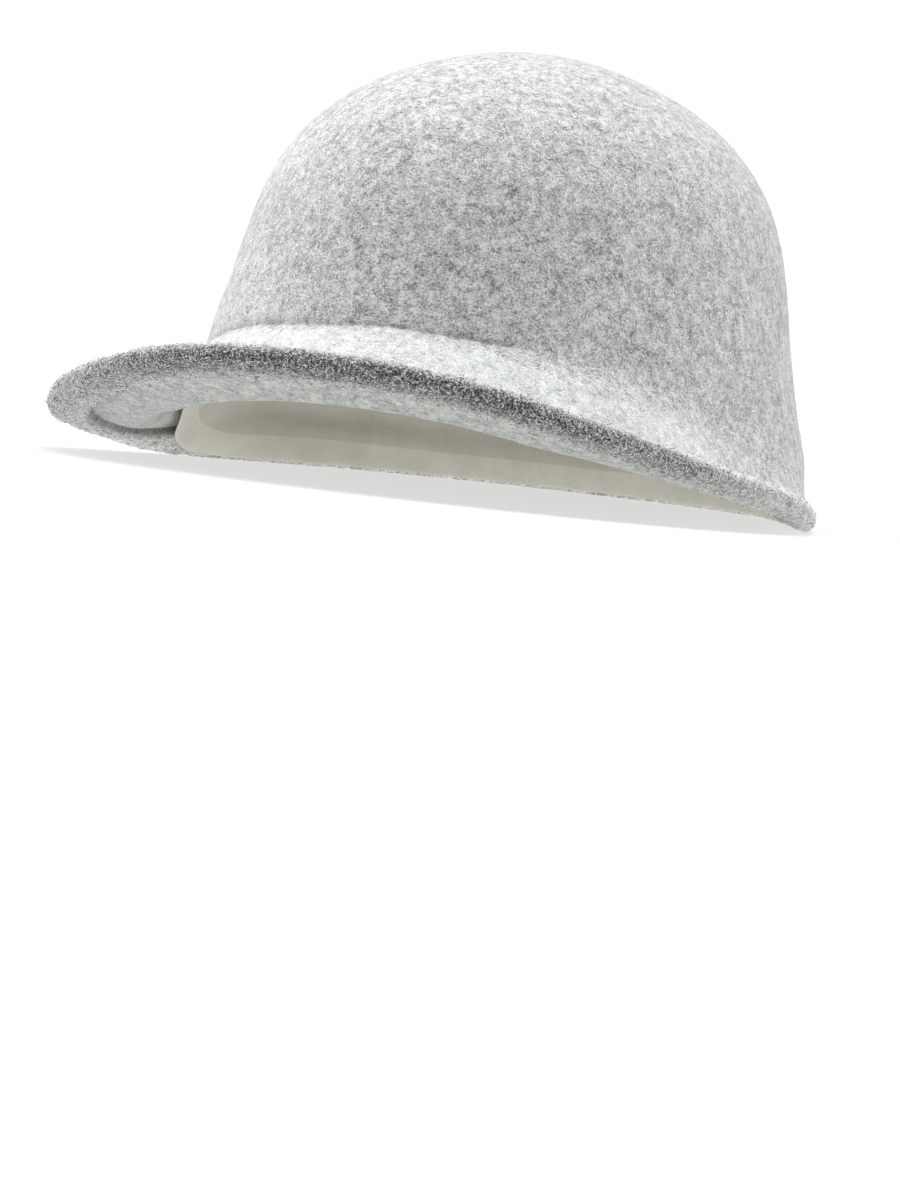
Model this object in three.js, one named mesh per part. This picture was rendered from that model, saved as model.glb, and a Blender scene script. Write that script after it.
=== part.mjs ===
// Felt baseball cap: one blocked piece of wool felt, with a ribbon sweatband inside it.
// Millimetres, +Z up, the peak towards -Y, the wearer's left on +X.
// The cap stands on the flattened underside of its rim, and its peak is clear of the floor.
// Every form is worked out on half sections: an azimuth of 0 degrees runs through the
// middle of the peak, and 180 degrees through the middle of the back.

import * as THREE from 'three';
import { mergeVertices } from 'three/addons/utils/BufferGeometryUtils.js';

// Felt sheet and its turned edge
const FELT_THICKNESS = 2.8;
const ROLL_RADIUS = 3.1;
const HEM_WIDTH = 10;
const HEM_STEP_RUN = 0.5;
const FLOOR = 0;

// Sweatband
const BAND_WIDTH = 33;
const BAND_THICKNESS = 1.2;
const BAND_GAP = 0.4;
const BAND_LEAN_LIMIT = 0.8;
const BAND_CLEARANCE_WINDOW = 0.75;

// How finely the shapes are cut
const AZIMUTH_STEPS = 84;
const CROWN_STEPS = 13;
const PEAK_STEPS = 8;
const ROLL_STEPS = 6;
const HEM_STEPS = 2;
const BAND_STEPS = 8;
const CURVE_SAMPLES = 48;
const SECTION_SPACING = 15;
const HALVINGS = 40;
const MERGE_DISTANCE = 1e-4;

// Plan of the crown at falling heights. Each level is an ellipse: half its length along Y,
// half its width along X, and how far its centre sits behind the axis.
const CROWN = [
  { height: 136.8, halfLength: 0.0, halfWidth: 0.0, setBack: 3.3 },
  { height: 134.2, halfLength: 22.5, halfWidth: 19.4, setBack: 3.2 },
  { height: 127.2, halfLength: 46.8, halfWidth: 40.4, setBack: 2.9 },
  { height: 115.0, halfLength: 70.0, halfWidth: 60.3, setBack: 2.4 },
  { height: 98.0, halfLength: 86.2, halfWidth: 74.2, setBack: 1.7 },
  { height: 78.0, halfLength: 94.2, halfWidth: 81.3, setBack: 0.6 },
  { height: 60.0, halfLength: 97.4, halfWidth: 84.8, setBack: -0.8 },
  { height: 46.0, halfLength: 100.4, halfWidth: 87.9, setBack: -2.2 },
  { height: 34.0, halfLength: 102.8, halfWidth: 90.4, setBack: -2.0 },
  { height: 22.0, halfLength: 106.2, halfWidth: 93.6, setBack: -1.0 },
  { height: 10.0, halfLength: 111.0, halfWidth: 98.6, setBack: 0.0 },
];

// Sections below the crown, one every 15 degrees from the front to the back.
// rimReach and rimHeight place the middle of the rolled edge, and rimFall is the slope at
// which the felt runs into it, negative where the peak rises. At breakHeight the felt leaves
// the crown wall at the slope breakAngle. breakPull and rimPull are how far each of those
// slopes is held before the curve turns, and bandFoot is the height of the sweatband's
// lower edge.
const SECTION_COLUMNS = [
  'rimReach', 'rimHeight', 'rimFall', 'breakHeight', 'breakAngle', 'breakPull', 'rimPull', 'bandFoot',
];
const SECTIONS = [
  [157.0, 32.0, -14, 44.8, 40, 54, 50, 34.0],
  [156.0, 29.5, -13, 43.3, 40, 54, 49, 33.0],
  [151.0, 21.5,  -9, 41.5, 43, 57, 49, 29.0],
  [141.5, 13.5,  -4, 37.5, 50, 52, 41, 22.0],
  [127.0,  8.5,   2, 31.5, 61, 34, 22, 12.0],
  [110.0,  3.8,  24, 27.0, 67, 14, 10,  2.4],
  [ 97.8,  2.8,  60, 24.0, 73,  6,  6,  0.8],
  [ 93.7,  2.6,  76, 22.0, 77,  5,  5,  0.8],
  [ 94.8,  2.6,  79, 22.0, 79,  5,  5,  0.8],
  [ 99.0,  2.6,  77, 22.0, 77,  5,  5,  0.8],
  [104.0,  2.6,  73, 22.0, 75,  5,  5,  0.8],
  [107.6,  2.6,  69, 22.0, 74,  5,  5,  0.8],
  [109.0,  2.6,  67, 22.0, 74,  5,  5,  0.8],
].map((row) => Object.fromEntries(SECTION_COLUMNS.map((column, i) => [column, row[i]])));

const FELT = new THREE.MeshStandardMaterial({ color: 0xb4b8b7, roughness: 0.97, metalness: 0 });
const RIBBON = new THREE.MeshStandardMaterial({ color: 0xb3aa94, roughness: 0.85, metalness: 0 });

// A column of a table at a place between its rows, as a smooth curve through them.
// Past either end the table is taken as mirrored, so the curve runs level there;
// startSign -1 makes the mirrored values negative, as a radius is past the axis.
function alongRows(rows, column, place, startSign = 1) {
  const last = rows.length - 1;
  const valueAt = (index) => {
    if (index < 0) return startSign * rows[-index][column];
    return rows[index > last ? 2 * last - index : index][column];
  };
  const low = Math.min(Math.floor(place), last - 1);
  const t = place - low;
  const [a, b, c, d] = [low - 1, low, low + 1, low + 2].map(valueAt);
  return b + 0.5 * t * (c - a + t * (2 * a - 5 * b + 4 * c - d + t * (3 * (b - c) + d - a)));
}

// The table of sections at any azimuth, mirrored from one side of the cap to the other.
function sectionAt(azimuth) {
  const place = Math.abs(azimuth) / SECTION_SPACING;
  return Object.fromEntries(SECTION_COLUMNS.map((column) => [column, alongRows(SECTIONS, column, place)]));
}

// A point of the crown's outside: its distance from the axis at this azimuth, its height,
// and how far its level is set back.
function crownPoint(azimuth, place) {
  const angle = THREE.MathUtils.degToRad(azimuth);
  const halfLength = alongRows(CROWN, 'halfLength', place, -1);
  const halfWidth = alongRows(CROWN, 'halfWidth', place, -1);
  const closeness = Math.hypot(Math.sin(angle) / halfWidth, Math.cos(angle) / halfLength);
  return {
    reach: halfLength > 0 ? 1 / closeness : 0,
    height: alongRows(CROWN, 'height', place),
    setBack: alongRows(CROWN, 'setBack', place),
  };
}

// The place between the crown's rows that lies at a given height.
function crownPlace(height) {
  let above = 0;
  let below = CROWN.length - 1;
  for (let i = 0; i < HALVINGS; i += 1) {
    const middle = (above + below) / 2;
    if (alongRows(CROWN, 'height', middle) > height) above = middle;
    else below = middle;
  }
  return below;
}

// The felt's outside at one azimuth, from the top of the crown to where the edge rolls
// under, as two runs of close points: down the crown, and along the peak or rim.
function outsideRuns(azimuth) {
  const section = sectionAt(azimuth);
  const breakPlace = crownPlace(section.breakHeight);
  const crownRun = [];
  for (let i = 0; i <= CURVE_SAMPLES; i += 1) {
    crownRun.push(crownPoint(azimuth, (breakPlace * i) / CURVE_SAMPLES));
  }
  const start = crownRun[CURVE_SAMPLES];
  const leave = THREE.MathUtils.degToRad(section.breakAngle);
  const arrive = THREE.MathUtils.degToRad(section.rimFall);
  const end = new THREE.Vector2(
    section.rimReach + ROLL_RADIUS * Math.sin(arrive),
    section.rimHeight + ROLL_RADIUS * Math.cos(arrive),
  );
  const curve = new THREE.CubicBezierCurve(
    new THREE.Vector2(start.reach, start.height),
    new THREE.Vector2(
      start.reach + section.breakPull * Math.cos(leave),
      start.height - section.breakPull * Math.sin(leave),
    ),
    new THREE.Vector2(
      end.x - section.rimPull * Math.cos(arrive),
      end.y + section.rimPull * Math.sin(arrive),
    ),
    end,
  );
  const peakRun = curve.getPoints(CURVE_SAMPLES).map((point, i) => ({
    reach: point.x,
    height: point.y,
    setBack: start.setBack * (1 - i / CURVE_SAMPLES),
  }));
  return { crownRun, peakRun };
}

// Adds the distance walked, and the outward direction, to each point of a run.
function measure(run) {
  let walked = 0;
  return run.map((point, i) => {
    const before = run[Math.max(i - 1, 0)];
    const after = run[Math.min(i + 1, run.length - 1)];
    const along = new THREE.Vector2(after.reach - before.reach, after.height - before.height).normalize();
    if (i > 0) walked += Math.hypot(point.reach - before.reach, point.height - before.height);
    return { ...point, walked, out: new THREE.Vector2(-along.y, along.x) };
  });
}

// The point of a measured run at a distance along it, moved in by a depth.
function pointAlong(run, distance, depth) {
  const last = run[run.length - 1].walked;
  const wanted = THREE.MathUtils.clamp(distance, 0, last);
  const next = Math.max(run.findIndex((point) => point.walked >= wanted), 1);
  const [a, b] = [run[next - 1], run[next]];
  const t = THREE.MathUtils.clamp((wanted - a.walked) / (b.walked - a.walked), 0, 1);
  const mix = (from, to) => from + (to - from) * t;
  const out = a.out.clone().lerp(b.out, t).normalize();
  return {
    reach: mix(a.reach, b.reach) - depth * out.x,
    height: mix(a.height, b.height) - depth * out.y,
    setBack: mix(a.setBack, b.setBack),
    out,
  };
}

// The closed section of the felt at one azimuth, without its two points on the axis:
// down the outside, round the rolled edge, in along the hem, and up the inside.
function feltSection(azimuth) {
  const { crownRun, peakRun } = outsideRuns(azimuth);
  const crown = measure(crownRun);
  const peak = measure(peakRun);
  const crownLength = crown[crown.length - 1].walked;
  const peakLength = peak[peak.length - 1].walked;
  const points = [];
  for (let i = 1; i <= CROWN_STEPS; i += 1) {
    points.push(pointAlong(crown, (crownLength * i) / CROWN_STEPS, 0));
  }
  for (let i = 1; i <= PEAK_STEPS; i += 1) {
    points.push(pointAlong(peak, (peakLength * i) / PEAK_STEPS, 0));
  }
  const edge = points[points.length - 1];
  const along = new THREE.Vector2(edge.out.y, -edge.out.x);
  for (let i = 1; i <= ROLL_STEPS; i += 1) {
    const turn = (Math.PI * i) / ROLL_STEPS;
    const lift = ROLL_RADIUS * (Math.cos(turn) - 1);
    const push = ROLL_RADIUS * Math.sin(turn);
    points.push({
      reach: edge.reach + lift * edge.out.x + push * along.x,
      height: edge.height + lift * edge.out.y + push * along.y,
      setBack: edge.setBack,
    });
  }
  for (let i = 1; i <= HEM_STEPS; i += 1) {
    points.push(pointAlong(peak, peakLength - (HEM_WIDTH * i) / HEM_STEPS, 2 * ROLL_RADIUS));
  }
  const insideStart = peakLength - HEM_WIDTH - HEM_STEP_RUN;
  for (let i = 0; i < PEAK_STEPS; i += 1) {
    points.push(pointAlong(peak, insideStart * (1 - i / PEAK_STEPS), FELT_THICKNESS));
  }
  for (let i = CROWN_STEPS; i >= 1; i -= 1) {
    points.push(pointAlong(crown, (crownLength * i) / CROWN_STEPS, FELT_THICKNESS));
  }
  return points;
}

// Where a section's points stand in the cap, flattened where they would be under the floor.
function placed(section, azimuth) {
  const angle = THREE.MathUtils.degToRad(azimuth);
  return section.map((point) => [
    point.reach * Math.sin(angle),
    point.setBack - point.reach * Math.cos(angle),
    Math.max(point.height, FLOOR),
  ]);
}

// A closed mesh through equal rings of points. With two poles the rings run from the first
// to the second; without them, the last ring joins the first and the form is a band.
function loft(sections, poles = []) {
  const count = sections[0].length;
  const vertices = sections.flat();
  const at = (column, row) => (column % sections.length) * count + (row % count);
  const faces = [];
  const rows = poles.length ? count - 1 : count;
  for (let column = 0; column < sections.length; column += 1) {
    for (let row = 0; row < rows; row += 1) {
      faces.push(at(column, row), at(column, row + 1), at(column + 1, row + 1));
      faces.push(at(column, row), at(column + 1, row + 1), at(column + 1, row));
    }
    if (poles.length) {
      faces.push(vertices.length, at(column, 0), at(column + 1, 0));
      faces.push(vertices.length + 1, at(column + 1, count - 1), at(column, count - 1));
    }
  }
  const geometry = new THREE.BufferGeometry();
  geometry.setAttribute('position', new THREE.Float32BufferAttribute([...vertices, ...poles].flat(), 3));
  geometry.setIndex(faces);
  return mergeVertices(geometry, MERGE_DISTANCE);
}

const AZIMUTHS = Array.from({ length: AZIMUTH_STEPS }, (_, i) => (360 * i) / AZIMUTH_STEPS);

// The mirrored azimuth, between -180 and 180 degrees, that the tables are read at.
function folded(azimuth) {
  return azimuth > 180 ? azimuth - 360 : azimuth;
}

// Crown, peak, rim, rolled edge and hem: the one piece of felt.
function makeFelt() {
  const sections = AZIMUTHS.map((azimuth) => placed(feltSection(folded(azimuth)), azimuth));
  const top = crownPoint(0, 0);
  const poles = [
    [0, top.setBack, top.height],
    [0, top.setBack, top.height - FELT_THICKNESS],
  ];
  return loft(sections, poles);
}

// How far from the axis the felt's inside lies, at its nearest within a window of heights.
function roomNear(inside, height, window) {
  let room = Infinity;
  for (let i = 1; i < inside.length; i += 1) {
    const [a, b] = [inside[i - 1], inside[i]];
    const low = Math.max(Math.min(a.height, b.height), height - window);
    const high = Math.min(Math.max(a.height, b.height), height + window);
    if (low < high) {
      const slope = (b.reach - a.reach) / (b.height - a.height);
      room = Math.min(room, a.reach + slope * (low - a.height), a.reach + slope * (high - a.height));
    }
  }
  return room;
}

// The closed section of the sweatband: from the top edge down, its outer face follows the
// felt's inside, but leans out no faster than the ribbon can.
function bandSection(azimuth) {
  const section = sectionAt(azimuth);
  const felt = feltSection(azimuth);
  const inside = felt.slice(CROWN_STEPS + PEAK_STEPS + ROLL_STEPS - 1);
  const step = BAND_WIDTH / BAND_STEPS;
  const outer = [];
  for (let i = 0; i <= BAND_STEPS; i += 1) {
    const height = section.bandFoot + BAND_WIDTH - i * step;
    const room = roomNear(inside, height, BAND_CLEARANCE_WINDOW * step) - BAND_GAP;
    const lean = i ? outer[i - 1].reach + BAND_LEAN_LIMIT * step : room;
    const level = crownPoint(azimuth, crownPlace(height));
    outer.push({ reach: Math.min(room, lean), height, setBack: level.setBack });
  }
  const inner = outer.map((point) => ({ ...point, reach: point.reach - BAND_THICKNESS }));
  return [...outer, ...inner.reverse()];
}

// The ribbon sweatband, a ring of its own inside the felt.
function makeBand() {
  return loft(AZIMUTHS.map((azimuth) => placed(bandSection(folded(azimuth)), azimuth)));
}

function namedMesh(name, geometry, material) {
  const mesh = new THREE.Mesh(geometry, material);
  mesh.name = name;
  return mesh;
}

const felt = makeFelt();
const band = makeBand();

// The origin is under the middle of the whole cap, on the floor.
felt.computeBoundingBox();
const middle = felt.boundingBox.getCenter(new THREE.Vector3());

const group = new THREE.Group();
group.add(namedMesh('felt_body', felt, FELT));
group.add(namedMesh('sweatband', band, RIBBON));
group.position.set(-middle.x, -middle.y, 0);

export default group;
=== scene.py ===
import math

import bpy
import numpy as np
from mathutils import Matrix, Vector


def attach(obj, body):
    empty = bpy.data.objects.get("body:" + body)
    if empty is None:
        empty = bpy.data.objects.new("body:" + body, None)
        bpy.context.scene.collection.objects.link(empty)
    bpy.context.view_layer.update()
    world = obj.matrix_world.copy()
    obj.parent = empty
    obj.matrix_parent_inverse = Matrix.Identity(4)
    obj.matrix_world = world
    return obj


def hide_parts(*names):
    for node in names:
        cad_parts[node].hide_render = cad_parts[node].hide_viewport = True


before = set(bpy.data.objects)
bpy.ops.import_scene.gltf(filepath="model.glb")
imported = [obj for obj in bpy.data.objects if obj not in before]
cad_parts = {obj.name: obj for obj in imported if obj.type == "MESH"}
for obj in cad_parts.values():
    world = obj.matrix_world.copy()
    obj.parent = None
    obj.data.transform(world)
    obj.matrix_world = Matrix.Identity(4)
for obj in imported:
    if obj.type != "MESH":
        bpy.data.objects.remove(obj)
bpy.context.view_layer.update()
scene = bpy.context.scene


# Camera
# It stands in front of the cap, 20 degrees towards the wearer's left and just above the floor,
# and is rolled, so that the cap leans in the picture as it does in the photograph.
MM = 0.001
CROWN_AXIS = Vector((0, 24 * MM, 0))
CAMERA_DISTANCE = 800 * MM
CAMERA_TURN = math.radians(20.12)
CAMERA_ELEVATION = math.radians(1.59)
CAMERA_ROLL = math.radians(6.31)
FOCAL_PIXELS = 2562.3
AXIS_PIXEL = (494.1, 492.0)
IMAGE_WIDTH, IMAGE_HEIGHT = 900, 1200
SENSOR = 36
CAMERA_REACH = 100

away = Vector((
    math.sin(CAMERA_TURN) * math.cos(CAMERA_ELEVATION),
    -math.cos(CAMERA_TURN) * math.cos(CAMERA_ELEVATION),
    math.sin(CAMERA_ELEVATION),
))
level_right = Vector((math.cos(CAMERA_TURN), math.sin(CAMERA_TURN), 0))
level_up = away.cross(level_right)
right = math.cos(CAMERA_ROLL) * level_right + math.sin(CAMERA_ROLL) * level_up
up = away.cross(right)

bpy.ops.object.camera_add()
camera = bpy.context.object
camera.matrix_world = Matrix((right, up, away)).transposed().to_4x4()
camera.location = CROWN_AXIS + CAMERA_DISTANCE * away
camera.data.sensor_width = SENSOR
camera.data.lens = SENSOR * FOCAL_PIXELS / IMAGE_HEIGHT
camera.data.shift_x = (IMAGE_WIDTH / 2 - AXIS_PIXEL[0]) / IMAGE_HEIGHT
camera.data.shift_y = (AXIS_PIXEL[1] - IMAGE_HEIGHT / 2) / IMAGE_HEIGHT
camera.data.clip_end = CAMERA_REACH
scene.camera = camera


# Blocked felt
# The crown, peak, rim and turned-under edge are one piece of heather grey wool felt, steamed
# over a block. Its surface is read from the CAD solid as rings of points, counted from the top
# of the crown, and smoothed, so that the finish can follow the crease and the edge.
MERGE_DISTANCE = 0.001 * MM
ANGLE_SLACK = 0.01
FELT_LEVELS = 2
CREASE_RING = 13
HEM_RING = 29
INSIDE_START_RING = 30
# Each pair says where a change starts and where it ends, in rings, or in degrees off the front
# where the name ends in FADE. A centre is also in degrees, and counts from the front towards +X.
ROLL_START = (19.5, 21.5)
ROLL_END = (26.5, 28)
EDGE_END = (28.7, 30.2)
INSIDE_START = (28.7, 29.3)
RAW_EDGE_SHARPNESS = 0.8
RAW_EDGE_START = (29.3, 29.6)
RAW_EDGE_END = (30.08, 30.3)
CREASE_SHARPNESS = 0.7
CREASE_CENTRE = -12
CREASE_FADE = (22, 48)
CREASE_HOLD = 0.18
CREASE_LOOSE = 0.6
PEAK_START = 0.5
PEAK_START_SOFT = 2.0
FELT_LUMPS = 0.5 * MM
FELT_LUMP_SIZE = 9 * MM
EDGE_LUMPS = 0.9 * MM
EDGE_LUMP_SIZE = 4 * MM
CREASE_GROOVE = 0.35 * MM
CREASE_GROOVE_WIDTH = 1.2 * MM
# Where the peak and the sides of the edge are painted lighter, as painted light, and where the turned
# edge is painted with shade.
PEAK_TOP_FADE = (45, 75)
PEAK_TOP_SHARE = 0.62
LEVEL_RINGS = (15, 17.5)
LEVEL_FADE = (25, 50)
SIDE_EDGE_FADE = (25, 70)
EDGE_SHADE_TOP = (21.3, 23.8)
EDGE_SHADE_BOTTOM = (27.2, 29.0)
EDGE_SHADE_CENTRE = 6
EDGE_SHADE_FADE = (14, 46)
EDGE_SHADE_LOSS = 0.9
EDGE_WOOL_SHADE_FADE = (14, 76)


def merged_copy(node_name):
    """The points of a CAD node's mesh, merged, and each point's neighbours."""
    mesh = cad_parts[node_name].data
    places = np.array([vertex.co for vertex in mesh.vertices])
    cells = np.round(places / MERGE_DISTANCE).astype(np.int64)
    keys, index = np.unique(cells, axis=0, return_inverse=True)
    index = index.reshape(-1)
    points = np.zeros((len(keys), 3))
    points[index] = places
    neighbours = [set() for _ in points]
    for edge in mesh.edges:
        a, b = index[edge.vertices[0]], index[edge.vertices[1]]
        if a != b:
            neighbours[a].add(b)
            neighbours[b].add(a)
    return points, neighbours


def rings_from_top(points, neighbours):
    """The rings of points round the cap, each ring ordered from the front towards +X."""
    ring = [int(np.argmax(points[:, 2]))]
    seen = set(ring)
    rings = [points[ring]]
    while ring:
        ring = sorted({n for p in ring for n in neighbours[p]} - seen)
        seen.update(ring)
        if ring:
            around = points[ring] - points[ring].mean(axis=0)
            angle = np.arctan2(around[:, 0], -around[:, 1]) % (2 * math.pi)
            angle[angle > 2 * math.pi - ANGLE_SLACK] = 0
            rings.append(points[ring][np.argsort(angle)])
    return rings


def new_piece(name, points, faces):
    mesh = bpy.data.meshes.new(name)
    mesh.from_pydata(points, [], faces)
    mesh.validate()
    piece = bpy.data.objects.new(name, mesh)
    scene.collection.objects.link(piece)
    mesh.shade_smooth()
    return piece


def select_only(piece):
    bpy.ops.object.select_all(action="DESELECT")
    piece.select_set(True)
    bpy.context.view_layer.objects.active = piece


def apply_modifier(piece, kind, **settings):
    select_only(piece)
    modifier = piece.modifiers.new(kind.title(), kind)
    for name, value in settings.items():
        setattr(modifier, name, value)
    bpy.ops.object.modifier_apply(modifier=modifier.name)


def add_attribute(piece, name, values):
    attribute = piece.data.attributes.new(name, "FLOAT", "POINT")
    attribute.data.foreach_set("value", np.asarray(values, dtype=np.float32))


def read_attribute(piece, name):
    values = np.zeros(len(piece.data.vertices), dtype=np.float32)
    piece.data.attributes[name].data.foreach_get("value", values)
    return values


def read_points(piece):
    values = np.zeros(3 * len(piece.data.vertices), dtype=np.float32)
    piece.data.vertices.foreach_get("co", values)
    return values.reshape(-1, 3).astype(float)


def write_points(piece, points):
    piece.data.vertices.foreach_set("co", points.astype(np.float32).ravel())
    piece.data.update()


def smooth_step(values, low, high):
    t = np.clip((values - low) / (high - low), 0, 1)
    return t * t * (3 - 2 * t)


def off_front(points, centre=0):
    """How many degrees off the front each point lies, or off a place that is a little to one side."""
    return np.abs(np.degrees(np.arctan2(points[:, 0], CROWN_AXIS.y - points[:, 1])) - centre)


def crease_strength(points):
    """1 where the crease is pressed in sharply, down to 0 where the peak flows into the crown."""
    return 1 - smooth_step(off_front(points, CREASE_CENTRE), *CREASE_FADE)


rings = rings_from_top(*merged_copy("felt_body"))
columns = len(rings[1])
grid = np.stack(rings[1:-1])
ring_places = np.arange(1, len(grid) + 1, dtype=float)

# Two more rings by the crease hold it sharp where it is pressed in, and lie further off elsewhere.
strength = crease_strength(grid[CREASE_RING - 1])
hold = (CREASE_HOLD * strength + CREASE_LOOSE * (1 - strength))[:, None]
higher, crease, lower = grid[CREASE_RING - 2], grid[CREASE_RING - 1], grid[CREASE_RING]
held = np.stack([crease + hold * (higher - crease), crease, crease + hold * (lower - crease)])
grid = np.concatenate([grid[:CREASE_RING - 1], held, grid[CREASE_RING:]])
held_places = (CREASE_RING - CREASE_HOLD, CREASE_RING, CREASE_RING + CREASE_HOLD)
ring_places = np.concatenate([ring_places[:CREASE_RING - 1], held_places, ring_places[CREASE_RING:]])
ring_count = len(grid)
felt_points = [rings[0][0], *grid.reshape(-1, 3), rings[-1][0]]
felt_faces = []
for c in range(columns):
    following = (c + 1) % columns
    felt_faces.append((0, 1 + c, 1 + following))
    for r in range(ring_count - 1):
        above, below = 1 + r * columns, 1 + (r + 1) * columns
        felt_faces.append((above + c, below + c, below + following, above + following))
    last = 1 + (ring_count - 1) * columns
    felt_faces.append((len(felt_points) - 1, last + following, last + c))
felt = new_piece("blocked_felt", felt_points, felt_faces)

# Each point knows its ring, and how far down its section it lies from the crease.
steps = np.linalg.norm(np.diff(grid, axis=0), axis=2)
walked = np.concatenate([np.zeros((1, columns)), np.cumsum(steps, axis=0)])
walked -= walked[list(ring_places).index(CREASE_RING)]
ring_numbers = np.repeat(ring_places, columns)
add_attribute(felt, "ring", [0, *ring_numbers, ring_places[-1] + 1])
add_attribute(felt, "from_crease", [walked[0, 0], *walked.ravel(), walked[-1, 0]])

# The raw edge of the hem is crisp all round, and the crease only at the front.
crease_sharpness = CREASE_SHARPNESS * crease_strength(read_points(felt))
sharpness = felt.data.attributes.new("crease_edge", "FLOAT", "EDGE")
for edge in felt.data.edges:
    a, b = (ring_numbers[v - 1] if 0 < v <= len(ring_numbers) else 0 for v in edge.vertices)
    if a == b and a in (HEM_RING, INSIDE_START_RING):
        sharpness.data[edge.index].value = RAW_EDGE_SHARPNESS
    elif a == b == CREASE_RING:
        sharpness.data[edge.index].value = crease_sharpness[edge.vertices[0]]
apply_modifier(felt, "SUBSURF", levels=FELT_LEVELS, render_levels=FELT_LEVELS)


def clouds(name, size):
    texture = bpy.data.textures.new(name, "CLOUDS")
    texture.noise_scale = size
    return texture


def add_group(piece, name, weights):
    group = piece.vertex_groups.new(name=name)
    for i, weight in enumerate(weights):
        group.add([i], float(weight), "REPLACE")


ring = read_attribute(felt, "ring")
on_roll = smooth_step(ring, *ROLL_START) * (1 - smooth_step(ring, *ROLL_END))
on_edge = smooth_step(ring, *ROLL_START) * (1 - smooth_step(ring, *EDGE_END))
add_attribute(felt, "inside", smooth_step(ring, *INSIDE_START))

# The turned edge is painted with shade where it faces the front: darkest just off the middle of the
# front, and much lighter at the sides. The same mask lays the edge's coarse wool colours over the
# felt.
points = read_points(felt)
turned = smooth_step(ring, *EDGE_SHADE_TOP) * (1 - smooth_step(ring, *EDGE_SHADE_BOTTOM))
off_dark = off_front(points, EDGE_SHADE_CENTRE)
edge_shade = turned * (1 - EDGE_SHADE_LOSS * smooth_step(off_dark, *EDGE_SHADE_FADE))
add_attribute(felt, "edge_wool_and_shade", turned * (1 - smooth_step(off_dark, *EDGE_WOOL_SHADE_FADE)))
# A thin line of painted shade lies at the foot of the hem's raw edge.
raw_edge = smooth_step(ring, *RAW_EDGE_START) * (1 - smooth_step(ring, *RAW_EDGE_END))
add_attribute(felt, "raw_edge", raw_edge)

# The slope of the peak below the crease is painted lighter than the crown, and so is the edge at the
# sides:
# painted light where they face the light. Less is painted where the peak lies level near the front.
at_front = crease_strength(points)
peak_start = PEAK_START * at_front + PEAK_START_SOFT * (1 - at_front)
peak_top = smooth_step(ring, CREASE_RING, CREASE_RING + peak_start)
peak_top *= 1 - smooth_step(ring, *EDGE_SHADE_TOP)
peak_top *= 1 - smooth_step(off_front(points), *PEAK_TOP_FADE)
add_attribute(felt, "peak_top", peak_top)
level = smooth_step(ring, *LEVEL_RINGS) * (1 - smooth_step(off_front(points), *LEVEL_FADE))
at_side = smooth_step(off_front(points), *SIDE_EDGE_FADE)
add_attribute(felt, "painted_light", PEAK_TOP_SHARE * peak_top * (1 - level) + on_edge * at_side)

# The crease is pressed in a little where the peak leaves the crown, and fades at the sides.
add_attribute(felt, "at_front", at_front)
normals = np.zeros(3 * len(points), dtype=np.float32)
felt.data.vertices.foreach_get("normal", normals)
normals = normals.reshape(-1, 3)
from_crease = read_attribute(felt, "from_crease")
groove = CREASE_GROOVE * np.exp(-((from_crease / CREASE_GROOVE_WIDTH) ** 2)) * at_front
points -= normals * groove[:, None]
write_points(felt, points)

add_group(felt, "roll", on_roll)
apply_modifier(
    felt, "DISPLACE", texture=clouds("felt_lumps", FELT_LUMP_SIZE), texture_coords="LOCAL",
    strength=FELT_LUMPS,
)
apply_modifier(
    felt, "DISPLACE", texture=clouds("edge_lumps", EDGE_LUMP_SIZE), texture_coords="LOCAL",
    strength=EDGE_LUMPS, vertex_group="roll",
)
points = read_points(felt)
points[:, 2] = np.maximum(points[:, 2], 0)
write_points(felt, points)


def shader_tree(name, finish):
    """A new material, its node tree and its surface shader, with the finish set on the shader."""
    material = bpy.data.materials.new(name)
    material.use_nodes = True
    tree = material.node_tree
    shader = tree.nodes["Principled BSDF"]
    for quality, value in finish.items():
        shader.inputs[quality].default_value = value
    return material, tree, shader


def add_node(tree, kind, values=(), **settings):
    """A shader node. Each value is a number or colour, or another node's socket to link from."""
    node = tree.nodes.new(kind)
    for name, value in settings.items():
        setattr(node, name, value)
    for place, value in dict(values).items():
        socket = node.inputs[place]
        if isinstance(value, bpy.types.NodeSocket):
            tree.links.new(value, socket)
        else:
            socket.default_value = value
    return node


def math_node(tree, operation, *values):
    return add_node(tree, "ShaderNodeMath", enumerate(values), operation=operation).outputs[0]


def colour_mix(tree, factor, a, b, blend="MIX"):
    node = tree.nodes.new("ShaderNodeMix")
    node.data_type = "RGBA"
    node.blend_type = blend
    for place, value in ((0, factor), (6, a), (7, b)):
        if isinstance(value, bpy.types.NodeSocket):
            tree.links.new(value, node.inputs[place])
        else:
            node.inputs[place].default_value = value
    return node.outputs[2]


def remap(tree, value, low, high, to_low=0, to_high=1):
    values = {"Value": value, 1: low, 2: high, 3: to_low, 4: to_high}
    return add_node(tree, "ShaderNodeMapRange", values).outputs[0]


def scaled(tree, vector, factors):
    return add_node(
        tree, "ShaderNodeVectorMath", {0: vector, 1: factors}, operation="MULTIPLY"
    ).outputs[0]


def noise(tree, place, scale, detail=2, output="Fac"):
    return add_node(
        tree, "ShaderNodeTexNoise", {"Vector": place, "Scale": scale, "Detail": detail}
    ).outputs[output]


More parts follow.
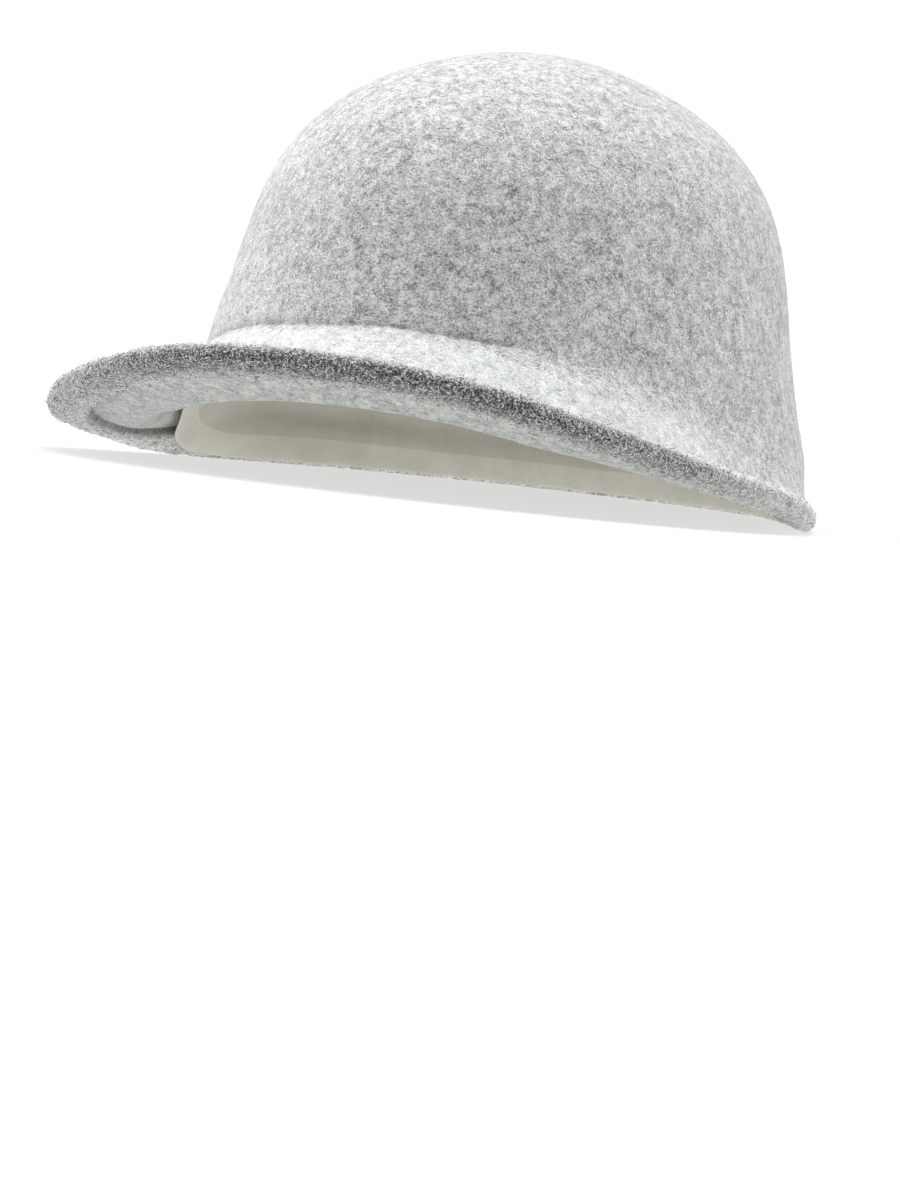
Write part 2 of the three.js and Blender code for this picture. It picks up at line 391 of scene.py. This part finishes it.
def wool_fibres(tree, place, width, length, patch):
    """Short fibres that lie every way: noise is drawn out, in each patch in a direction of its own."""
    patches = add_node(tree, "ShaderNodeTexVoronoi", {"Vector": place, "Scale": 1 / patch})
    turn = scaled(tree, patches.outputs["Color"], FIBRE_TURN)
    turned = add_node(
        tree, "ShaderNodeVectorRotate", {"Vector": place, "Rotation": turn},
        rotation_type="EULER_XYZ",
    )
    drawn_out = scaled(tree, turned.outputs[0], (1 / width, 1 / width, 1 / length))
    return noise(tree, drawn_out, 1, detail=1)


# Places from 0 to 1 and their colours, from the darkest wool to the lightest.
FELT_TONES = (
    (0.0, (0.155, 0.172, 0.17, 1)),
    (0.5, (0.555, 0.572, 0.56, 1)),
    (1.0, (0.90, 0.905, 0.885, 1)),
)
EDGE_WOOL_TONES = (
    (0.0, (0.019, 0.02, 0.0185, 1)),
    (0.4, (0.084, 0.087, 0.08, 1)),
    (0.6, (0.24, 0.246, 0.231, 1)),
    (1.0, (0.84, 0.85, 0.82, 1)),
)
# A fibre's width and length, and the size of the patch in which all lie alike.
FINE_FIBRE = (0.32 * MM, 1.6 * MM, 1.5 * MM)
COARSE_FIBRE = (0.8 * MM, 3.2 * MM, 3.6 * MM)
FIBRE_TURN = (6.3, 6.3, 6.3)
SPECK_SIZE = 0.6 * MM
MOTTLE_SIZE = 2.6 * MM
CLOUD_SIZE = 8 * MM
# The shares of the lay, the coarse fibres, the mottle, the cloud and the specks.
FELT_BLEND = (0.41, 0.17, 0.28, 0.1, 0.23)
# The shares of the fine fibres and the specks.
EDGE_BLEND = (0.6, 0.4)
PATCH_SIZE = 11 * MM
PATCH_DETAIL = 4
PATCH_SPAN = (0.4, 0.6)
STREAK_LENGTH = 3.6 * MM
STREAK_WIDTH = 0.3 * MM
STREAK_DETAIL = 3
TONE_SPAN = (0.475, 0.715)
EDGE_TONE_SPAN = (0.38, 0.62)
INSIDE_STREAKS = 0.45
INSIDE_EVENNESS = 0.12
INSIDE_TINT = (1.0, 0.998, 0.965, 1)
PEAK_EVENNESS = 0.42
EVEN_TONE = 0.6
LIGHTENING = (1.42, 1.42, 1.42, 1)
WARM_PATCH = (1.01, 1.0, 0.985, 1)
COOL_PATCH = (0.99, 1.0, 1.012, 1)
CREASE_LINE = 0.5
CREASE_LINE_WIDTH = 0.75 * MM
# The mottle from low to high, and how much of the crease's line it leaves.
BROKEN_LINE = (0.35, 0.6, 1, 0.4)
RAW_EDGE_LINE = 0.6
FELT_BUMP = 0.35 * MM
FELT_BUMP_STRENGTH = 0.7
FELT_BUMP_BLEND = (1, 1.2)
FELT_FINISH = {"Roughness": 0.95, "IOR": 1.3, "Sheen Weight": 0.35, "Sheen Roughness": 0.6}
BLACK = (0, 0, 0, 1)


def add_bump(tree, shader, height, strength, distance):
    values = {"Height": height, "Strength": strength, "Distance": distance}
    bump = add_node(tree, "ShaderNodeBump", values)
    tree.links.new(bump.outputs["Normal"], shader.inputs["Normal"])


def tone_ramp(tree, value, tones):
    """Colours from a short list of places and colours."""
    node = add_node(tree, "ShaderNodeValToRGB", {"Fac": value})
    ramp = node.color_ramp
    ramp.elements[0].position, ramp.elements[0].color = tones[0]
    ramp.elements[1].position, ramp.elements[1].color = tones[-1]
    for position, colour in tones[1:-1]:
        ramp.elements.new(position).color = colour
    return node.outputs["Color"]


def weighted_sum(tree, sockets, weights):
    """The sum of sockets, each times its weight."""
    total = 0
    for socket, weight in zip(sockets, weights):
        total = math_node(tree, "MULTIPLY_ADD", socket, weight, total)
    return total


def tinted(tree, colour, tint, factor=1):
    """A colour that is multiplied by a tint, in part where the factor is below 1."""
    return colour_mix(tree, factor, colour, tint, "MULTIPLY")


def attribute(tree, name):
    return add_node(tree, "ShaderNodeAttribute", attribute_name=name).outputs["Fac"]


def felt_material():
    material, tree, shader = shader_tree("heather_felt", FELT_FINISH)
    place = add_node(tree, "ShaderNodeTexCoord").outputs["Object"]
    fine = wool_fibres(tree, place, *FINE_FIBRE)
    coarse = wool_fibres(tree, place, *COARSE_FIBRE)
    specks = noise(tree, place, 1 / SPECK_SIZE, detail=1)
    mottle = noise(tree, place, 1 / MOTTLE_SIZE)
    cloud = noise(tree, place, 1 / CLOUD_SIZE)

    # Under the peak and inside the crown the fibres lie in fine streaks round the cap.
    split = add_node(tree, "ShaderNodeSeparateXYZ", {0: place})
    from_crease = attribute(tree, "from_crease")
    round_cap = add_node(tree, "ShaderNodeCombineXYZ", {
        0: math_node(tree, "MULTIPLY", split.outputs["X"], 1 / STREAK_LENGTH),
        1: math_node(tree, "MULTIPLY", split.outputs["Y"], 1 / STREAK_LENGTH),
        2: math_node(tree, "MULTIPLY", from_crease, 1 / STREAK_WIDTH),
    })
    streaks = noise(tree, round_cap.outputs[0], 1, STREAK_DETAIL)
    inside = attribute(tree, "inside")
    streak_share = math_node(tree, "MULTIPLY", inside, INSIDE_STREAKS)
    lay = remap(tree, streak_share, 0, 1, fine, streaks)

    # The crown shows all of the blend, and the slope below the crease and the inside are more even.
    mixed = weighted_sum(tree, (lay, coarse, mottle, cloud, specks), FELT_BLEND)
    peak_top = attribute(tree, "peak_top")
    evenness = weighted_sum(tree, (inside, peak_top), (INSIDE_EVENNESS, PEAK_EVENNESS))
    mixed = remap(tree, evenness, 0, 1, mixed, EVEN_TONE)
    colour = tone_ramp(tree, remap(tree, mixed, *TONE_SPAN), FELT_TONES)
    # Painted light: the slope of the peak and the sides of the edge are made lighter.
    colour = tinted(tree, colour, LIGHTENING, attribute(tree, "painted_light"))

    # The wools that are blended lie in faintly warmer and cooler patches.
    patch = noise(tree, place, 1 / PATCH_SIZE, PATCH_DETAIL, "Color")
    patch_tint = colour_mix(tree, remap(tree, patch, *PATCH_SPAN), WARM_PATCH, COOL_PATCH)
    colour = tinted(tree, colour, colour_mix(tree, inside, patch_tint, INSIDE_TINT))

    # The wool of the edge is coarser and runs from near black to white.
    edge_mixed = weighted_sum(tree, (fine, specks), EDGE_BLEND)
    edge_colour = tone_ramp(tree, remap(tree, edge_mixed, *EDGE_TONE_SPAN), EDGE_WOOL_TONES)
    # Painted shade: the edge's dark wool colours are laid where the edge faces the front.
    colour = colour_mix(tree, attribute(tree, "edge_wool_and_shade"), colour, edge_colour)

    # The crease and the foot of the hem's raw edge each hold a thin line of shade.
    widths = math_node(tree, "MULTIPLY", from_crease, 1 / CREASE_LINE_WIDTH)
    squared = math_node(tree, "POWER", widths, 2)
    near = math_node(tree, "EXPONENT", math_node(tree, "MULTIPLY", squared, -1))
    near = math_node(tree, "MULTIPLY", near, attribute(tree, "at_front"))
    crease_line = math_node(tree, "MULTIPLY", near, remap(tree, mottle, *BROKEN_LINE))
    lines = (crease_line, attribute(tree, "raw_edge"))
    colour = colour_mix(tree, weighted_sum(tree, lines, (CREASE_LINE, RAW_EDGE_LINE)), colour, BLACK)
    tree.links.new(colour, shader.inputs["Base Color"])

    height = weighted_sum(tree, (lay, coarse), FELT_BUMP_BLEND)
    add_bump(tree, shader, height, FELT_BUMP_STRENGTH, FELT_BUMP)
    return material


felt.data.materials.append(felt_material())
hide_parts("felt_body")
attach(felt, "root")


# Loose wool
# Real felt is never smooth: fibres lift off it, short and sparse on the crown and peak, and
# thick and curly on the turned edge, where the wool is coarser and runs from dark grey to white.
# Each layer is many copies of one small bent fibre, rooted in the felt.
FIBRE_SIDES = 3
FIBRE_SEGMENTS = 2
FIBRE_TAPER = 0.5
FIBRE_TWIST = 1.2
# How much shorter and longer, or thinner and thicker, single fibres are than their layer's form.
LENGTH_SPREAD = (0.6, 1.4)
THICKNESS_SPREAD = (0.6, 1.3)
FIBRE_FINISH = {"Roughness": 0.85, "IOR": 1.3, "Sheen Weight": 0.6}
ROOT_DEPTH = 0.15 * MM
SIDE_DARK_FALL = 5.0
SIDE_THINNING = 0.45
NAP_END = (20, 21)
FRONT_REACH = 95


def felt_samples(random, count, weights, shade):
    """Places on the felt, their outward normals, a direction along the surface and the shade."""
    mesh = felt.data
    mesh.calc_loop_triangles()
    corners = np.zeros(3 * len(mesh.loop_triangles), dtype=np.int32)
    mesh.loop_triangles.foreach_get("vertices", corners)
    corners = corners.reshape(-1, 3)
    a, b, c = (points[corners[:, i]] for i in range(3))
    cross = np.cross(b - a, c - a)
    share = np.linalg.norm(cross, axis=1) * weights[corners].mean(axis=1)
    chosen = random.choice(len(corners), count, p=share / share.sum())
    u, v = random.random(count), random.random(count)
    over = u + v > 1
    u[over], v[over] = 1 - u[over], 1 - v[over]
    places = a[chosen] + u[:, None] * (b - a)[chosen] + v[:, None] * (c - a)[chosen]
    normal = cross[chosen] / np.linalg.norm(cross[chosen], axis=1)[:, None]
    sideways = np.cross(normal, random.normal(size=(count, 3)))
    sideways /= np.linalg.norm(sideways, axis=1)[:, None]
    return places, normal, sideways, shade[corners[chosen]].mean(axis=1)


def fibre_layer(name, count, weights, shade, seed, length, thickness, lift, curl):
    """Many short wool fibres. lift is how steeply they rise, in radians, and curl how far each one
    turns back towards the felt along its length."""
    random = np.random.default_rng(seed)
    root, normal, sideways, shade_there = felt_samples(random, count, weights, shade)
    size = length * random.uniform(*LENGTH_SPREAD, count)
    radius = thickness / 2 * random.uniform(*THICKNESS_SPREAD, count)
    rise = random.uniform(*lift, count)[:, None]
    turning = random.uniform(*curl, count)
    ahead = np.cos(rise) * sideways + np.sin(rise) * normal
    twist = random.uniform(-FIBRE_TWIST, FIBRE_TWIST, count)[:, None]
    inward = np.sin(rise) * sideways - np.cos(rise) * normal
    across = np.cross(ahead, inward)
    bend = np.cos(twist) * inward + np.sin(twist) * across
    side = np.cross(ahead, bend)

    rows = []
    for k in range(FIBRE_SEGMENTS + 1):
        t = k / FIBRE_SEGMENTS
        angle = turning * t
        forward = (size * np.sin(angle) / turning)[:, None]
        turned = (size * (1 - np.cos(angle)) / turning)[:, None]
        middle = root - ROOT_DEPTH * normal + forward * ahead + turned * bend
        out = -np.sin(angle)[:, None] * ahead + np.cos(angle)[:, None] * bend
        if k == FIBRE_SEGMENTS:
            rows.append(middle[:, None, :])
        else:
            wide = (radius * (1 - FIBRE_TAPER * t))[:, None]
            for j in range(FIBRE_SIDES):
                phi = 2 * math.pi * j / FIBRE_SIDES
                outwards = math.cos(phi) * out + math.sin(phi) * side
                rows.append((middle + wide * outwards)[:, None, :])
    fibres = np.concatenate(rows, axis=1)
    fibres[:, :, 2] = np.maximum(fibres[:, :, 2], 0)
    each = fibres.shape[1]
    one = [(2, 1, 0)]
    for k in range(FIBRE_SEGMENTS - 1):
        for j in range(FIBRE_SIDES):
            a, b = k * FIBRE_SIDES + j, k * FIBRE_SIDES + (j + 1) % FIBRE_SIDES
            one += [(a, b, b + FIBRE_SIDES), (a, b + FIBRE_SIDES, a + FIBRE_SIDES)]
    base = (FIBRE_SEGMENTS - 1) * FIBRE_SIDES
    for j in range(FIBRE_SIDES):
        one.append((base + j, base + (j + 1) % FIBRE_SIDES, each - 1))
    faces = (np.array(one)[None] + each * np.arange(count)[:, None, None]).reshape(-1, 3)
    piece = new_piece(name, fibres.reshape(-1, 3).tolist(), faces.tolist())
    # Fibres are darker where the edge is painted with shade; elsewhere most are light, with a few dark
    # ones.
    tone = 1 - random.random(count) ** (1 + SIDE_DARK_FALL * (1 - shade_there))
    add_attribute(piece, "fibre_tone", np.repeat(tone, each))
    return piece


def fibre_material(name, tones):
    """Wool whose fibres each have a tone of their own, from a short list of places and colours."""
    material, tree, shader = shader_tree(name, FIBRE_FINISH)
    colour = tone_ramp(tree, attribute(tree, "fibre_tone"), tones)
    tree.links.new(colour, shader.inputs["Base Color"])
    return material


upper = 1 - smooth_step(ring, *NAP_END)
front = off_front(points) < FRONT_REACH
on_edge *= 1 - SIDE_THINNING * smooth_step(off_front(points), *SIDE_EDGE_FADE)
left = points[:, 0] > 0

# Places from 0 to 1 and their colours, from the darkest wool to the lightest.
NAP_TONES = (
    (0.0, (0.30, 0.315, 0.315, 1)),
    (0.3, (0.60, 0.61, 0.60, 1)),
    (0.6, (0.86, 0.86, 0.84, 1)),
    (1.0, (0.96, 0.96, 0.94, 1)),
)
EDGE_TONES = (
    (0.0, (0.014, 0.015, 0.0138, 1)),
    (0.50, (0.064, 0.0665, 0.061, 1)),
    (0.63, (0.225, 0.23, 0.215, 1)),
    (0.72, (0.85, 0.858, 0.83, 1)),
    (1.0, (0.99, 0.99, 0.965, 1)),
)
NAP_FORM = {"length": 2.2 * MM, "thickness": 0.12 * MM, "lift": (0.03, 0.4), "curl": (0.5, 2.0)}
EDGE_FORM = {"length": 1.7 * MM, "thickness": 0.19 * MM, "lift": (0.05, 0.95), "curl": (1.0, 2.6)}
nap_material = fibre_material("nap_wool", NAP_TONES)
edge_material = fibre_material("edge_wool", EDGE_TONES)
everywhere = np.ones(len(points))
# The columns are the layer's name, how many fibres it has, how densely they grow at each point,
# how much painted shade darkens their wool there, the material and the fibre's form.
LAYERS = (
    ("nap_front", 15000, upper * front, everywhere, nap_material, NAP_FORM),
    ("nap_back", 10000, upper * ~front, everywhere, nap_material, NAP_FORM),
    ("edge_wool_front_left", 19500, on_edge * front * left, edge_shade, edge_material, EDGE_FORM),
    ("edge_wool_front_right", 19500, on_edge * front * ~left, edge_shade, edge_material, EDGE_FORM),
    ("edge_wool_back", 12000, on_edge * ~front, edge_shade, edge_material, EDGE_FORM),
)
for seed, (name, count, weights, shade, material, form) in enumerate(LAYERS):
    layer = fibre_layer(name, count, weights, shade, seed, **form)
    layer.data.materials.append(material)
    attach(layer, "root")


# Sweatband
# A beige woven ribbon, sewn inside the rim with its lower strip folded up. Its points are read
# from the CAD ring by column and height, and its joint is at the back.
BAND_COLUMNS = columns
BAND_LEVELS = 2
BAND_RIB = 0.9 * MM
BAND_RIB_DEPTH = 0.06 * MM
BAND_BUMP_STRENGTH = 0.6
THREAD_HEIGHT = 0.6
# How fine the threads are along and across the ribbon, and the fading, in steps in a metre.
THREAD_SCALE = (900, 3500, 1)
FADE_SCALE = 90
# The shares of the threads and the fading in the ribbon's colour.
RIBBON_BLEND = (0.6, 0.4)
RIBBON_SPAN = (0.35, 0.65)
RIBBON_FINISH = {"Roughness": 0.8, "Sheen Weight": 0.2}
BAND_FOLD = 26 * MM
BAND_FOLD_SOFTNESS = 0.4 * MM
RIBBON_LIGHT = (0.74, 0.72, 0.625, 1)
RIBBON_DARK = (0.59, 0.57, 0.49, 1)
# How much lighter the folded strip is painted, as painted light.
FOLDED_STRIP_PAINTED_LIGHT = (1.2, 1.2, 1.22, 1)

band_points, _ = merged_copy("sweatband")
turn = np.degrees(np.arctan2(band_points[:, 0], CROWN_AXIS.y - band_points[:, 1])) - 180
column = np.round((turn % 360) / 360 * BAND_COLUMNS).astype(int) % BAND_COLUMNS
band_sections = []
for c in range(BAND_COLUMNS):
    section = band_points[column == c]
    section = section[np.argsort(-section[:, 2])]
    pairs = section.reshape(-1, 2, 3)
    reach = np.hypot(pairs[:, :, 0], pairs[:, :, 1] - CROWN_AXIS.y)
    outer = pairs[np.arange(len(pairs)), np.argmax(reach, axis=1)]
    inner = pairs[np.arange(len(pairs)), np.argmin(reach, axis=1)]
    band_sections.append(np.concatenate([outer, inner[::-1]]))
band_sections = np.array(band_sections)
band_rows = band_sections.shape[1]
band_faces = []
for c in range(BAND_COLUMNS):
    following = (c + 1) % BAND_COLUMNS
    for r in range(band_rows):
        low = (r + 1) % band_rows
        here, there = c * band_rows, following * band_rows
        band_faces.append((here + r, here + low, there + low, there + r))
band = new_piece("ribbon_band", band_sections.reshape(-1, 3), band_faces)

foot = band_sections[:, -1]
foot_steps = np.linalg.norm(np.roll(foot, -1, axis=0) - foot, axis=1)
along = np.concatenate([[0], np.cumsum(foot_steps)])
half = band_rows // 2
width_steps = np.linalg.norm(np.diff(band_sections[:, :half], axis=1), axis=2)
down = np.concatenate([np.zeros((BAND_COLUMNS, 1)), np.cumsum(width_steps, axis=1)], axis=1)
down = np.concatenate([down, down[:, ::-1]], axis=1)
ribbon_map = band.data.uv_layers.new(name="ribbon")
for face in band.data.polygons:
    c, r = divmod(face.index, band_rows)
    low = (r + 1) % band_rows
    following = (c + 1) % BAND_COLUMNS
    corners = (
        (along[c], down[c, r]), (along[c], down[c, low]),
        (along[c + 1], down[following, low]), (along[c + 1], down[following, r]),
    )
    for loop, corner in zip(face.loop_indices, corners):
        ribbon_map.data[loop].uv = corner
apply_modifier(band, "SUBSURF", levels=BAND_LEVELS, render_levels=BAND_LEVELS)


def ribbon_material():
    material, tree, shader = shader_tree("ribbon_weave", RIBBON_FINISH)
    ribbon = add_node(tree, "ShaderNodeUVMap", uv_map="ribbon").outputs[0]
    split = add_node(tree, "ShaderNodeSeparateXYZ", {0: ribbon})
    turns = math_node(tree, "MULTIPLY", split.outputs["X"], 2 * math.pi / BAND_RIB)
    ribs = math_node(tree, "SINE", turns)
    threads = noise(tree, scaled(tree, ribbon, THREAD_SCALE), 1)
    fade = noise(tree, ribbon, FADE_SCALE)
    mixed = weighted_sum(tree, (threads, fade), RIBBON_BLEND)
    colour = colour_mix(tree, remap(tree, mixed, *RIBBON_SPAN), RIBBON_DARK, RIBBON_LIGHT)

    # The lower strip is folded up over itself and sewn, and it is painted lighter: painted light on
    # the strip below the shade inside the crown.
    folded_painted_light = remap(tree, split.outputs["Y"], BAND_FOLD - BAND_FOLD_SOFTNESS, BAND_FOLD)
    tree.links.new(tinted(tree, colour, FOLDED_STRIP_PAINTED_LIGHT, folded_painted_light), shader.inputs["Base Color"])
    height = weighted_sum(tree, (ribs, threads), (1, THREAD_HEIGHT))
    add_bump(tree, shader, height, BAND_BUMP_STRENGTH, BAND_RIB_DEPTH)
    return material


band.data.materials.append(ribbon_material())
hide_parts("sweatband")
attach(band, "root")


# Floor and light
# A pale floor that gives off some light of its own, in bright, soft light from above and both
# sides. The sky that the camera sees is white, and the sky that lights the cap is much dimmer, so
# that the cap's front stays its darkest side.
WHITE = (1, 1, 1, 1)
FLOOR_SIZE = 60
FLOOR_FINISH = {
    "Base Color": (0.27, 0.27, 0.27, 1),
    "Roughness": 1,
    "Specular IOR Level": 0,
    "Emission Color": WHITE,
    "Emission Strength": 0.62,
}
SKY_SEEN = 1.05
SKY_LIGHT = 0.02

bpy.ops.object.select_all(action="DESELECT")
bpy.ops.mesh.primitive_plane_add(size=FLOOR_SIZE, location=(0, 0, 0))
floor = bpy.context.object
floor.name = "floor"
floor.data.materials.append(shader_tree("pale_floor", FLOOR_FINISH)[0])


def soft_sun(name, strength, azimuth, elevation, spread):
    """Even light from one side of the sky. Azimuth 0 comes from the front, 180 from behind."""
    bpy.ops.object.light_add(type="SUN")
    sun = bpy.context.object
    sun.name = name
    turn, height = math.radians(azimuth), math.radians(elevation)
    reach = math.cos(height)
    source = Vector((reach * math.sin(turn), -reach * math.cos(turn), math.sin(height)))
    sun.rotation_euler = source.to_track_quat("Z", "Y").to_euler()
    sun.data.energy = strength
    sun.data.angle = math.radians(spread)


# The columns are the light's name, strength, azimuth, elevation and spread, in degrees.
LIGHTS = (
    ("top_light", 3.6, 170, 82, 50),
    ("left_light", 1.88, -90, 45, 60),
    ("low_left_light", 0.85, -85, 15, 50),
    ("low_right_light", 0.85, 100, 15, 50),
)
for light in LIGHTS:
    soft_sun(*light)

world = bpy.data.worlds.new("studio")
scene.world = world
world.use_nodes = True
sky = world.node_tree
background = sky.nodes["Background"]
seen = sky.nodes.new("ShaderNodeLightPath").outputs["Is Camera Ray"]
sky.links.new(remap(sky, seen, 0, 1, SKY_LIGHT, SKY_SEEN), background.inputs["Strength"])
background.inputs["Color"].default_value = WHITE
scene.view_settings.view_transform = "Standard"
